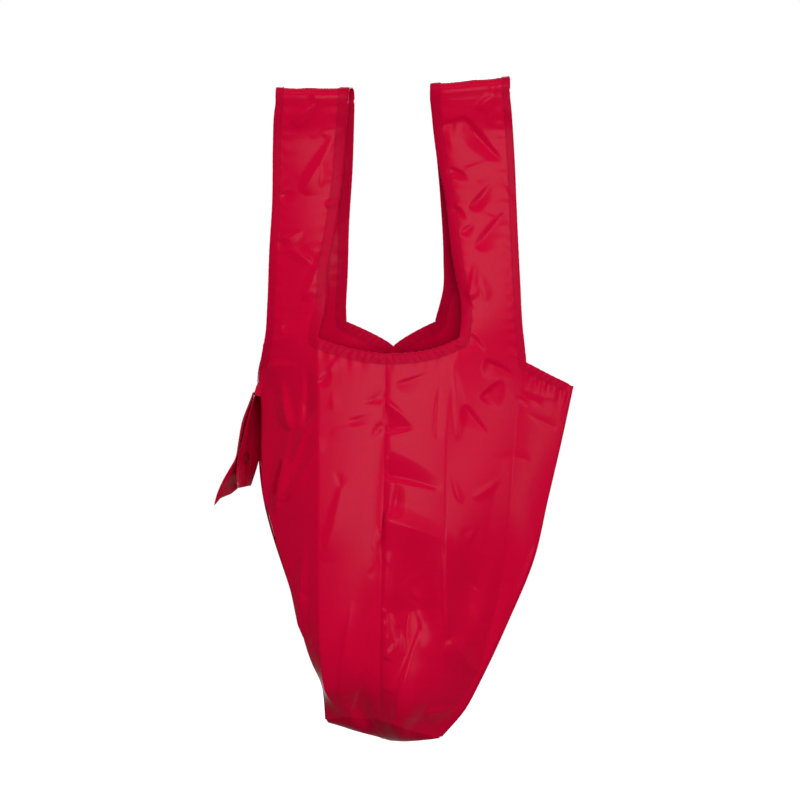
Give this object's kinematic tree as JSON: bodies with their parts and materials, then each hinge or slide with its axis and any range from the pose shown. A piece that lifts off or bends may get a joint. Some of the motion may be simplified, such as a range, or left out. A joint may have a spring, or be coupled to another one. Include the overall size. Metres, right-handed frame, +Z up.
{
  "type": "foldable tote bag",
  "caption": "Limp pleated tote bag with wide strap handles, gathered bound edges, a small tilted base and a snap closure band on one side tip.",
  "frame": {"origin": "midway between the tops of the two handles, where one hand or hook carries the bag", "axes": "+Z up, +Y towards the back of the bag, +X towards the side without the closure band"},
  "size_m": [0.3335, 0.0922, 0.6239],
  "materials": {
    "cloth": "satin coated crimson taffeta",
    "binding": "crimson tape, stitched",
    "snap": "moulded crimson resin"
  },
  "bodies": {
    "bag_body": {"front_panel_left": "cloth", "front_panel_right": "cloth", "back_panel_left": "cloth", "back_panel_right": "cloth", "base_panel_left": "cloth", "base_panel_right": "cloth", "front_centre_seam": "binding", "back_centre_seam": "binding", "left_side_seam": "binding", "right_side_seam": "binding", "base_seam": "binding", "front_neck_binding": "binding", "back_neck_binding": "binding", "left_front_side_binding": "binding", "left_back_side_binding": "binding", "right_front_side_binding": "binding", "right_back_side_binding": "binding", "closure_anchor": "cloth"},
    "left_handle_front": {"left_handle_front": "cloth", "left_handle_front_inner_binding": "binding", "left_handle_front_outer_binding": "binding"},
    "left_handle_back": {"left_handle_back": "cloth", "left_handle_back_inner_binding": "binding", "left_handle_back_outer_binding": "binding"},
    "left_handle_top": {"left_handle_top": "cloth", "left_handle_top_inner_binding": "binding", "left_handle_top_outer_binding": "binding"},
    "right_handle_front": {"right_handle_front": "cloth", "right_handle_front_inner_binding": "binding", "right_handle_front_outer_binding": "binding"},
    "right_handle_back": {"right_handle_back": "cloth", "right_handle_back_inner_binding": "binding", "right_handle_back_outer_binding": "binding"},
    "right_handle_top": {"right_handle_top": "cloth", "right_handle_top_inner_binding": "binding", "right_handle_top_outer_binding": "binding"},
    "closure_inner": {"closure_inner_band": "cloth", "snap_stud": "snap", "snap_back_ring": "snap"},
    "closure_outer": {"closure_outer_band": "cloth", "snap_cap": "snap", "snap_socket": "snap"}
  },
  "joints": [
    {"name": "left_handle_swing", "type": "hinge", "parent": "bag_body", "child": "left_handle_front", "pos_m": [-0.085, -0.014, -0.197], "axis": [1, 0, 0], "range_deg": [-80, 80]},
    {"name": "left_handle_back_swing", "type": "hinge", "parent": "bag_body", "child": "left_handle_back", "pos_m": [-0.06775, 0.014, -0.197], "axis": [1, 0, 0], "range_deg": [-80, 80]},
    {"name": "left_handle_top_level", "type": "hinge", "parent": "left_handle_front", "child": "left_handle_top", "pos_m": [-0.071, -0.014, -0.014], "axis": [1, 0, 0], "range_deg": [-80, 80]},
    {"name": "right_handle_swing", "type": "hinge", "parent": "bag_body", "child": "right_handle_front", "pos_m": [0.09625, -0.014, -0.197], "axis": [0.9951, 0, 0.0993], "range_deg": [-80, 80]},
    {"name": "right_handle_back_swing", "type": "hinge", "parent": "bag_body", "child": "right_handle_back", "pos_m": [0.078, 0.014, -0.197], "axis": [0.9951, 0, 0.0993], "range_deg": [-80, 80]},
    {"name": "right_handle_top_level", "type": "hinge", "parent": "right_handle_front", "child": "right_handle_top", "pos_m": [0.0755, -0.014, -0.007], "axis": [0.9951, 0, 0.0993], "range_deg": [-80, 80]},
    {"name": "closure_swing", "type": "hinge", "parent": "bag_body", "child": "closure_inner", "pos_m": [-0.128, 0.018, -0.286], "axis": [0, 1, 0], "range_deg": [-2, 90]},
    {"name": "closure_unsnap", "type": "hinge", "parent": "closure_inner", "child": "closure_outer", "pos_m": [-0.128, 0.018, -0.286], "axis": [0, 1, 0], "range_deg": [0, 60]}
  ],
  "couplings": [
    {"joint": "left_handle_back_swing", "follows": "left_handle_swing", "ratio": 1},
    {"joint": "left_handle_top_level", "follows": "left_handle_swing", "ratio": -1},
    {"joint": "right_handle_back_swing", "follows": "right_handle_swing", "ratio": 1},
    {"joint": "right_handle_top_level", "follows": "right_handle_swing", "ratio": -1}
  ]
}
